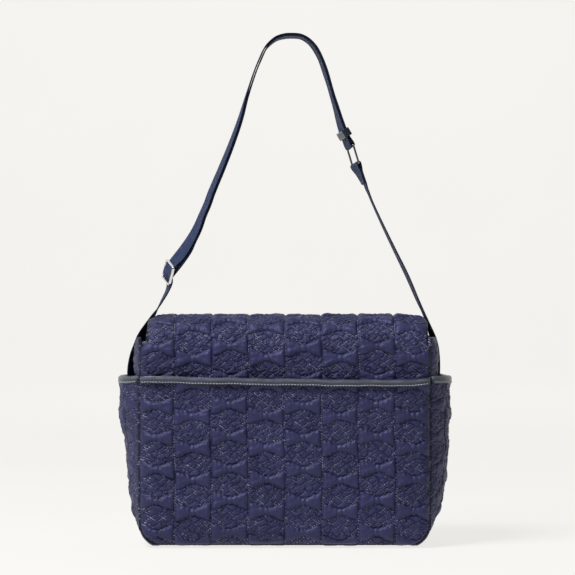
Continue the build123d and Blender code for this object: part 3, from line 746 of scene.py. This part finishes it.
def stitches(name, line, normal, material, pitch=3.6, length=2.7, radius=0.48):
    """A row of separate thread stitches along a line of points."""
    gaps = np.linalg.norm(np.diff(line, axis=0), axis=1)
    run = np.concatenate([[0], np.cumsum(gaps)])
    spots = np.arange(pitch, run[-1] - pitch / 2, pitch)
    verts, faces = [], []
    around = np.linspace(0, 2 * math.pi, 6, endpoint=False)
    rings = [(-0.5, 0.25), (-0.36, 0.85), (0.0, 1.0), (0.36, 0.85), (0.5, 0.25)]
    for spot in spots:
        at = np.array([np.interp(spot, run, line[:, k]) for k in range(3)])
        ahead = np.array([np.interp(spot + 0.5, run, line[:, k]) for k in range(3)])
        up = unit(np.array([np.interp(spot, run, normal[:, k]) for k in range(3)]))
        way = unit(ahead - at)
        side = np.cross(way, up)
        start = len(verts)
        for place, size in rings:
            for angle in around:
                reach = side * math.cos(angle) * 0.9 + up * math.sin(angle)
                verts.append(at + way * place * length + reach * radius * size)
        for ring in range(len(rings) - 1):
            for j in range(6):
                a = start + ring * 6 + j
                b = start + ring * 6 + (j + 1) % 6
                faces.append((a, b, b + 6, a + 6))
        faces.append(tuple(start + j for j in range(5, -1, -1)))
        faces.append(tuple(start + 24 + j for j in range(6)))
    return build_mesh(name, verts, faces, material)


def constant(vector, count):
    return np.tile(np.array(vector, float), (count, 1))


def back_trim():
    """Leather folded over the slip pocket's mouth, with a stitched lower edge."""
    x = np.linspace(-SEAM_X + 0.5, SEAM_X - 0.5, 170)
    z = pocket_top(x) - 4.6 + 0.3 * np.sin(x / 13) + 0.2 * np.sin(x / 5.3 + 1)
    edge = SEAM_X - np.abs(x)
    y = -(70.6 + 7.4 * (1 - np.exp(-edge / 8.0)) + 2.4 * (1 - (x / SEAM_X) ** 2)) - 0.35 * np.sin(x / 17)
    centre = np.stack([x, y, z], -1)
    n = len(x)
    trim = band("back_pocket_trim", centre, constant((0, -0.08, 1), n), constant((0, -1, 0), n), 9.6, 6.0,
                LEATHER, roundness=0.55, uv=True, dent=TRIM_DENT)
    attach(trim, "bag")
    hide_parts("back_pocket_binding")
    line = centre + np.array([0, -3.1, -2.5])
    row = stitches("back_pocket_trim_stitches", line, constant((0, -1, 0), n), THREAD)
    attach(row, "bag")


def side_trim(side, name):
    """Leather over a side pocket's mouth, following its curve."""
    T = np.linspace(-0.985, 0.985, 90)
    z = side_mouth(T) - 2.6 + 0.3 * np.sin(T * 9 + side)
    centre = side_pocket_point(side, T, z, lift=1.0)
    centre[:, 0] -= side * 0.6
    way = unit(np.gradient(centre, axis=0))
    out = unit(np.cross(way, (0, 0, 1.0)))
    out = out if out[45, 0] * side > 0 else -out
    trim = band(name + "_trim", centre, constant((0, 0, 1), len(T)), out, 9.4, 6.0, LEATHER,
                roundness=0.55, uv=True, dent=TRIM_DENT)
    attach(trim, "bag")
    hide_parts(name.replace("side_pocket_", "side_pocket_binding_"))
    line = centre + out * 3.05 + np.array([0, 0, -2.5])
    row = stitches(name + "_trim_stitches", line, out, THREAD)
    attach(row, "bag")


def flap_trim():
    """Leather along the flap's lower edge."""
    x = np.linspace(FLAP_LEFT + 0.5, FLAP_RIGHT - 0.5, 160)
    z = 84.0 + 0.5 * np.sin(x / 19)
    y = 72.0 + 1.1 * wander(x, z, 22, 1.0)
    centre = np.stack([x, y, z], -1)
    n = len(x)
    trim = band("flap_trim", centre, constant((0, 0, 1), n), constant((0, 1, 0), n), 9.4, 6.4, LEATHER,
                uv=True, dent=TRIM_DENT)
    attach(trim, "flap_front")
    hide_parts("flap_binding")
    row = stitches("flap_trim_stitches", centre + np.array([0, 3.1, 2.6]), constant((0, 1, 0), n), THREAD)
    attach(row, "flap_front")


# ----------------------------------------------------------------------- strap

WEB = 38.0              # width of the webbing
LAYER = 1.15            # each layer of the doubled strap, from its middle line
KEEPER_HEIGHT = 499.5   # middle of the keeper
SLIDER_HALVES = (11.2, 22.2)
METAL_CORNER = 2.6      # radius of the metal frames' corners
STRAP_JOIN = 498.5      # where the main layer's return ends, under the keeper
ROUND_BAR = 2.3         # middle of the webbing from the middle of a bar it passes round
RING_TOP = np.array([79.5, 0.0, 485.0])
RING_LOW = np.array([86.5, 0.0, 461.9])

# Middle line of the strap as (x, z, twist in degrees).  A positive twist turns the
# outside of the webbing towards the bag's back.
LEFT_ANCHOR = [(-183.5, 150, 0), (-187, 185, -6), (-187.5, 208, -12), (-184.3, 227, -14), (-179, 243, -13),
               (-173.9, 256, -10.5), (-161.5, 277, -3), (-156, 286, 2)]
SLIDER_ENTRY = [(-149.9, 296.8, 5.4), (-143.6, 309, 8), (-141.2, 319.5, 13), (-144.0, 331.4, 16.5),
                (-137.2, 341.5, 18), (-127.9, 351.9, 21)]
LEFT_LEG = [(-114.4, 370.5, 18), (-107, 384.7, 15), (-101, 399.8, 12.5), (-94.9, 413.9, 12),
            (-89.4, 429.1, 11.5), (-77.1, 458.4, 10.5), (-65.4, 487.6, 9), (-55, 516.9, 7),
            (-46.5, 546.2, 3.5), (-36.8, 575.5, 2.5), (-30.6, 590.6, 3)]
CROWN_LINE = [(-25.1, 602.7, 3), (-19.4, 609.8, 2), (-11, 616.3, 1), (-1, 619.4, 0), (9, 620, 0),
              (19, 619, 0), (27.5, 614.5, -1), (33.5, 608.7, -2), (38.5, 601.7, -3)]
RIGHT_LEG = [(44, 590.6, -3), (49.4, 575.5, -4), (53.8, 561.3, -3), (58.1, 546.2, -3),
             (62.4, 532, -4.5), (66.6, 516.9, -7), (71.3, 502.3, -9), (75.2, 493.2, -9),
             (79.5, 485, -9)]
RIGHT_LOW = [(86.5, 461.9, -11), (89.8, 454.5, -9), (95.0, 443.2, -4.5), (101.5, 429.1, -1),
             (107.7, 413.9, 0), (121.1, 384.7, -1), (135.2, 355.4, -2), (149.3, 326.4, -3),
             (162.1, 296.8, -2), (168.9, 282.1, -1), (174.9, 267.5, -3), (181, 250.3, -7.5),
             (184, 236, -9), (185.5, 214, -8), (185, 185, -4), (183.5, 150, 0)]
SHOULDER = LEFT_LEG + CROWN_LINE + RIGHT_LEG
RETURN_START = [(-137.5, 332.5, 17), (-129.5, 343.0, 18), (-120.3, 357.5, 20)]


def strap_line(stations, count):
    """Points, run, width and outward directions along stations of (x, z, twist)."""
    data, _ = catmull([(x, z, 0.6 * twist) for x, z, twist in stations], count)
    points = np.stack([data[:, 0], 0 * data[:, 0], data[:, 1]], -1)
    run = unit(np.gradient(points, axis=0))
    out = np.stack([-run[:, 2], 0 * run[:, 0], run[:, 0]], -1)
    angle = np.radians(data[:, 2] / 0.6)[:, None]
    across = np.array([0.0, 1.0, 0.0])
    normal = out * np.cos(angle) - across * np.sin(angle)
    width = across * np.cos(angle) + out * np.sin(angle)
    return points, run, width, normal


def webbing(name, points, width, normal, thickness=1.7, size=WEB):
    """Webbing along a line of points, with a flat, nearly rectangular section."""
    return band(name, points, width, normal, size, thickness, WEBBING, roundness=0.16, rows=11, uv=True)


def half_turn(bar, towards, normal, width):
    """Points round a bar, from the normal's side, under it and up the other side."""
    points, out = [], []
    for angle in np.linspace(0, math.pi, 13)[1:-1]:
        way = normal * math.cos(angle) - towards * math.sin(angle)
        points.append(bar + way * ROUND_BAR)
        out.append(way)
    return np.array(points), np.array(out), constant(width, len(points))


def spread(points, bar, near, far=0.0):
    """Offset of each layer from the middle line, wider close to the bar it passes round."""
    reach = np.linalg.norm(points - bar, axis=1)
    return near + (ROUND_BAR - near) * (1 - smooth(reach, 1.5, 12)) + far


def main_strap():
    """The long webbing: from the left side pocket, over the shoulder and round the ring."""
    points, run, width, normal = strap_line(LEFT_ANCHOR + SLIDER_ENTRY + SHOULDER, 500)
    parting = LAYER * smooth(points[:, 2], 350, 378)
    lift = np.where(points[:, 0] < -100, parting, spread(points, RING_TOP, LAYER))
    loop, out, across = half_turn(RING_TOP, -run[-1], normal[-1], width[-1])
    back = np.where(points[:, 2] < STRAP_JOIN)[0]
    back = back[points[back, 0] > 0][::-1]
    path = [points + normal * lift[:, None], loop, points[back] - normal[back] * lift[back, None]]
    obj = webbing("strap_main", np.vstack(path), np.vstack([width, across, width[back]]),
                  np.vstack([normal, out, -normal[back]]))
    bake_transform(obj)
    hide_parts("strap_outer_layer", "strap_anchor_left")
    seam_row("ring_seam", points, width, normal, RING_TOP, 9.0, (LAYER, LAYER))


def seam_row(name, points, width, normal, bar, reach, lifts):
    """A row of stitches across the webbing, on both faces, some way along from a bar."""
    k = int(np.argmin(np.abs(np.linalg.norm(points - bar, axis=1) - reach)))
    spots = np.linspace(-WEB / 2 + 2.5, WEB / 2 - 2.5, 30)[:, None]
    for face, lift in zip((1, -1), lifts):
        line = points[k] + width[k] * spots + normal[k] * face * (lift + 0.95)
        row = stitches(f"{name}_{'outer' if face > 0 else 'inner'}", line, constant(normal[k] * face, 30),
                       WEB_THREAD, 2.6, 1.9, 0.3)
        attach(row, "strap")


def inner_strap():
    """The return layer, from the ring back up and down to the slider's middle bar."""
    points, run, width, normal = strap_line(RETURN_START + SHOULDER, 420)
    keep = (points[:, 0] < 0) | (points[:, 2] > STRAP_JOIN - 0.3)
    points, run, width, normal = points[keep], run[keep], width[keep], normal[keep]
    share = np.where(points[:, 0] < -100, smooth(points[:, 2], 352, 380), 1.0)
    points = points - normal * (LAYER * share)[:, None]
    bar = points[0] + normal[0] * ROUND_BAR - run[0] * 4.0
    loop, out, wide = half_turn(bar, run[0], normal[0], width[0])
    rise = run[0] * np.linspace(12, 0, 7)[:, None]
    loop = np.vstack([bar + rise + normal[0] * ROUND_BAR, loop])
    out = np.vstack([constant(normal[0], 7), out])
    wide = np.vstack([constant(width[0], 7), wide])
    obj = webbing("strap_inner", np.vstack([loop, points]), np.vstack([wide, width]),
                  np.vstack([out, -normal]))
    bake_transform(obj)
    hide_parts("strap_inner_layer", "slider_loop")


def lower_strap():
    """The short webbing: sewn round the ring and led down into the right side pocket."""
    points, run, width, normal = strap_line(RIGHT_LOW, 300)
    reach = np.linalg.norm(points - RING_LOW, axis=1)
    lift = (spread(points, RING_LOW, 0.9) - 0.9 * smooth(reach, 24, 34))[:, None]
    tail = np.where(reach < 26)[0][::-1]
    loop, out, wide = half_turn(RING_LOW, run[0], -normal[0], width[0])
    path = [points[tail] - normal[tail] * lift[tail], loop, points + normal * lift]
    obj = webbing("strap_lower", np.vstack(path), np.vstack([width[tail], wide, width]),
                  np.vstack([-normal[tail], out, normal]))
    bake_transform(obj)
    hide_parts("strap_lower_right", "strap_anchor_right")
    for k, place in enumerate((9.0, 22.0)):
        seam_row(f"tail_seam_{k}", points, width, normal, RING_LOW, place, (0.9, 0.9))


def closed_sweep(name, path, side, up, section, material):
    """A ring: a closed section of (side, up) offsets carried round a closed path."""
    rings = path[:, None] + side[:, None] * section[None, :, :1] + up[:, None] * section[None, :, 1:]
    n, m = rings.shape[:2]
    i, j = np.meshgrid(np.arange(n), np.arange(m), indexing="ij")
    a, b = i * m + j, i * m + (j + 1) % m
    c, d = ((i + 1) % n) * m + (j + 1) % m, ((i + 1) % n) * m + j
    faces = np.stack([a, b, c, d], -1).reshape(-1, 4)
    return build_mesh(name, rings.reshape(-1, 3), faces, material)


def round_rect(half_a, half_b, corner, count=12):
    """Points and outward directions round a rectangle with round corners."""
    points, out = [], []
    for k, (sa, sb) in enumerate(((1, 1), (-1, 1), (-1, -1), (1, -1))):
        for angle in np.linspace(0, math.pi / 2, count):
            turn = angle + k * math.pi / 2
            way = (math.cos(turn), math.sin(turn))
            points.append((sa * (half_a - corner) + corner * way[0],
                           sb * (half_b - corner) + corner * way[1]))
            out.append(way)
    return np.array(points), np.array(out)


def round_section(half_side, half_up, power=0.6, count=14):
    angles = np.linspace(0, 2 * math.pi, count, endpoint=False)
    c, s = np.cos(angles), np.sin(angles)
    side = np.sign(c) * np.abs(c) ** power * half_side
    return np.stack([side, np.sign(s) * np.abs(s) ** power * half_up], -1)


def closed_loop(name, centre, a_dir, b_dir, halves, corner, up, section, material):
    """A rectangular loop with round corners, in the plane of two directions."""
    flat, out = round_rect(*halves, corner)
    path = centre + flat[:, :1] * a_dir + flat[:, 1:] * b_dir
    side = out[:, :1] * a_dir + out[:, 1:] * b_dir
    return closed_sweep(name, path, side, constant(up, len(path)), section, material)


def hardware():
    """The three-bar slider, the rectangular ring and the leather keeper."""
    middle = np.array([-142.8, 0.0, 330.6])
    way = unit(np.array([0.245, -0.17, 0.955]))
    across = unit(np.array([-0.22, 0.95, 0.225]))
    face = np.cross(way, across)
    face = face if face[0] < 0 else -face
    frame_wire = closed_loop("slider_outer", middle, way, across, SLIDER_HALVES, METAL_CORNER, face,
                             round_section(1.2, 1.7, 0.55), CHROME)
    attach(frame_wire, "strap_slider")
    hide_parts("slider_frame")
    spots = middle - face * 1.5 + across * np.linspace(-21.8, 21.8, 24)[:, None]
    bar = band("slider_bar", spots, constant(way, 24), constant(face, 24), 2.6, 2.6, CHROME, roundness=0.9,
               rows=4)
    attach(bar, "strap_slider")

    points, run, width, normal = strap_line(RIGHT_LEG, 90)
    along = unit(RING_TOP - RING_LOW)
    middle = (RING_TOP + RING_LOW) / 2
    span = np.linalg.norm(RING_TOP - RING_LOW) / 2
    cross = unit(width[-1] - along * np.dot(width[-1], along))
    ring = closed_loop("ring_wire", middle, along, cross, (span, 22.0), METAL_CORNER, np.cross(along, cross),
                       round_section(1.25, 1.25, 0.9), CHROME_PAINTED_DARK)
    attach(ring, "strap")
    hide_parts("strap_ring")

    # Keeper: a strip of leather closed round both layers, sitting a little askew.
    k = int(np.argmin(np.abs(points[:, 2] - KEEPER_HEIGHT)))
    axis = unit(run[k] + 0.17 * normal[k])
    lean = unit(normal[k] - 0.17 * run[k])
    keeper = closed_loop("strap_keeper_leather", points[k], width[k], lean, (WEB / 2 + 1.8, 4.0), 2.4, axis,
                         round_section(0.9, 5.0, 0.4, 20), KEEPER_LEATHER)
    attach(keeper, "keeper")
    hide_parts("strap_keeper")
    for rise in (-3.6, 3.6):
        spots = np.linspace(-WEB / 2 + 1, WEB / 2 - 1, 20)[:, None]
        for sign in (1, -1):
            line = points[k] + axis * rise + width[k] * spots + lean * sign * 4.85
            name = f"keeper_stitches_{'low' if rise < 0 else 'high'}_{'out' if sign > 0 else 'in'}"
            row = stitches(name, line, constant(lean * sign, 20), THREAD, 2.4, 1.7, 0.26)
            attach(row, "keeper")


# ---------------------------------------------------------------------- inside

def lining_bag():
    """The lining: floor and walls of the main compartment in one sewn piece."""
    half_x, half_y, corner = 169.5, 58.0, 14.0
    flat, _ = round_rect(half_x, half_y, corner, 10)
    flat = np.vstack([flat, flat[:1]])
    run = np.concatenate([[0], np.cumsum(np.linalg.norm(np.diff(flat, axis=0), axis=1))])
    spots = np.linspace(0, run[-1], 260)
    loop = np.stack([np.interp(spots, run, flat[:, k]) for k in (0, 1)], -1)
    rows = [(share, 9.4, 0.0) for share in np.linspace(0.03, 0.97, 14)]
    rows += [(1.0, z, 1.0) for z in np.concatenate([[10.5], np.linspace(14, 242.5, 60)])]
    P = np.array([[(x * s, y * s, z) for s, z, _ in rows] for x, y in loop])
    wall = np.array([w for _, _, w in rows])[None]
    folds = wander(spots[:, None] + 0 * wall, P[..., 2], 71, 0.7) * 1.1
    folds *= wall * smooth(P[..., 2], 12, 60) * (1 - 0.8 * smooth(P[..., 2], 225, 246))
    folds[-1] = folds[0]
    inward = -unit(np.stack([P[..., 0] / half_x, P[..., 1] / half_y, 0 * P[..., 0]], -1) ** 5)
    P = P + inward * np.abs(folds)[..., None]
    n = grid_normals(P, (0, 0, 120))
    obj = slab("lining_cloth", P, P - n * 0.7, LINING, rim=0.3)
    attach(obj, "bag")
    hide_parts("lining")

    # Bound rim between the lining and the outer panels.
    flat, away = round_rect(half_x + 1.2, half_y + 1.8, corner, 24)
    path = np.column_stack([flat, np.full(len(flat), 243.5)])
    side = np.column_stack([away, np.zeros(len(flat))])
    rim = closed_sweep("rim_binding_cloth", path, side, constant((0, 0, 1), len(path)),
                       round_section(2.4, 3.2), LINING)
    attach(rim, "bag")
    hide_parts("rim_binding")


def inner_pocket():
    """An open pocket on the front wall, with a gathered elastic top."""
    u, v = np.meshgrid(np.linspace(-1, 1, 150), np.linspace(0, 1, 60), indexing="ij")
    x = 120.0 * u
    z = 60.0 + 122.0 * v
    edge = np.minimum(120 - np.abs(x), z - 60)
    y = 57.5 - 8.6 * (1 - np.exp(-edge / 7.0)) * (0.75 + 0.25 * v) + 0.5 * wander(x, z, 81, 0.4)
    P = np.stack([x, y, z], -1)
    obj = slab("inner_pocket_cloth", P, P + np.array([0, 0.8, 0]), LINING)
    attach(obj, "bag")
    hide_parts("inner_pocket")
    z = 179.0 + 13.0 * v
    gather = 0.7 * np.sin(x * 1.35 + 0.8 * np.sin(x / 7)) * np.sin(np.pi * np.clip(v, 0.06, 0.94))
    P = np.stack([x, 47.9 + 9.4 * np.exp(-(120 - np.abs(x)) / 4.0) + gather, z], -1)
    band_obj = slab("inner_pocket_elastic_cloth", P, P + np.array([0, 1.6, 0]), LINING)
    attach(band_obj, "bag")
    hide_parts("inner_pocket_elastic")


def dress_cad_nodes():
    """Materials for the pieces that keep their CAD shape."""
    looks = {
        "zip_tape": ZIP_TAPE, "zip_coil": ZIP_COIL,
        "zip_stops": CHROME, "zip_slider": CHROME, "zip_pull": CHROME,
        "zip_pouch": LINING, "base_board": BOARD, "snap_sockets": STEEL, "snap_socket_plates": STEEL,
        "snap_studs": STEEL,
    }
    for node, material in looks.items():
        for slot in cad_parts[node].material_slots:
            slot.material = material


# ------------------------------------------------------------- camera and light

SENSOR = 36.0
CAMERA_DISTANCE = 3.2   # metres, from the bag's middle plane
VIEW_WIDTH = 0.697      # metres across the picture at that distance
FLOOR_BEND, BEND_RADIUS, WALL_TOP, HALF_FLOOR = 5.2, 1.2, 7.0, 9.0
PAPER_GLOW = 0.785


def studio():
    """A pale seamless floor, soft light from above left, and the camera."""
    paper = Paint("pale_floor")
    tone = paper.blend(paper.ramp(paper.noise(3, 2), 0.3, 0.7), (0.132, 0.131, 0.127), (0.138, 0.137, 0.133))
    paper.finish(tone, 0.95, Specular_IOR_Level=0.0, Emission_Color=(1.0, 0.99, 0.955, 1.0),
                 Emission_Strength=PAPER_GLOW)
    bend = np.linspace(0.1, math.pi / 2, 14)
    wall_y = FLOOR_BEND + BEND_RADIUS
    floor_y = np.concatenate([[-8.0, FLOOR_BEND], FLOOR_BEND + BEND_RADIUS * np.sin(bend), [wall_y]])
    floor_z = np.concatenate([[0.0, 0.0], BEND_RADIUS - BEND_RADIUS * np.cos(bend), [WALL_TOP]])
    verts = [(x, y, z) for x in (-HALF_FLOOR, HALF_FLOOR) for y, z in zip(floor_y, floor_z)]
    n = len(floor_y)
    faces = [(i, i + n, i + n + 1, i + 1) for i in range(n - 1)]
    mesh = bpy.data.meshes.new("studio_floor")
    mesh.from_pydata(verts, [], faces)
    mesh.polygons.foreach_set("use_smooth", [True] * len(mesh.polygons))
    mesh.materials.append(paper.material)
    floor = bpy.data.objects.new("studio_floor", mesh)
    bpy.context.scene.collection.objects.link(floor)

    world = bpy.data.worlds.new("studio_world")
    bpy.context.scene.world = world
    world.use_nodes = True
    world.node_tree.nodes["Background"].inputs[0].default_value = (1.0, 0.995, 0.98, 1)
    world.node_tree.nodes["Background"].inputs[1].default_value = 0.12
    lamp("key", (-1.7, -1.7, 3.2), (0, 0, 0.2), 1.6, 185)
    lamp("fill", (2.6, -3.6, 1.8), (0, 0, 0.2), 2.0, 5)
    lamp("backdrop", (0.0, 3.6, 3.2), (0, 6.4, 0.8), 2.4, 55)

    data = bpy.data.cameras.new("camera")
    camera = bpy.data.objects.new("camera", data)
    bpy.context.scene.collection.objects.link(camera)
    data.sensor_width = SENSOR
    data.lens = SENSOR * CAMERA_DISTANCE / VIEW_WIDTH
    camera.location = (0.003, -0.03 - CAMERA_DISTANCE, 0.312)
    camera.rotation_euler = (math.pi / 2, 0, 0)
    bpy.context.scene.camera = camera
    bpy.context.scene.view_settings.view_transform = "Standard"


def lamp(name, place, target, size, power):
    data = bpy.data.lights.new(name, "AREA")
    data.shape = "DISK"
    data.size = size
    data.energy = power
    obj = bpy.data.objects.new(name, data)
    bpy.context.scene.collection.objects.link(obj)
    obj.location = place
    obj.rotation_euler = (Vector(target) - Vector(place)).to_track_quat("-Z", "Y").to_euler()


studio()
back_pocket()
inner_back_panel()
front_panel()
flap_pieces()
base_panel()
for side, word in ((-1, "left"), (1, "right")):
    gusset(side, "gusset_" + word)
    side_pocket(side, "side_pocket_" + word)
    side_trim(side, "side_pocket_" + word)
back_trim()
flap_trim()
main_strap()
inner_strap()
lower_strap()
hardware()
lining_bag()
inner_pocket()
dress_cad_nodes()
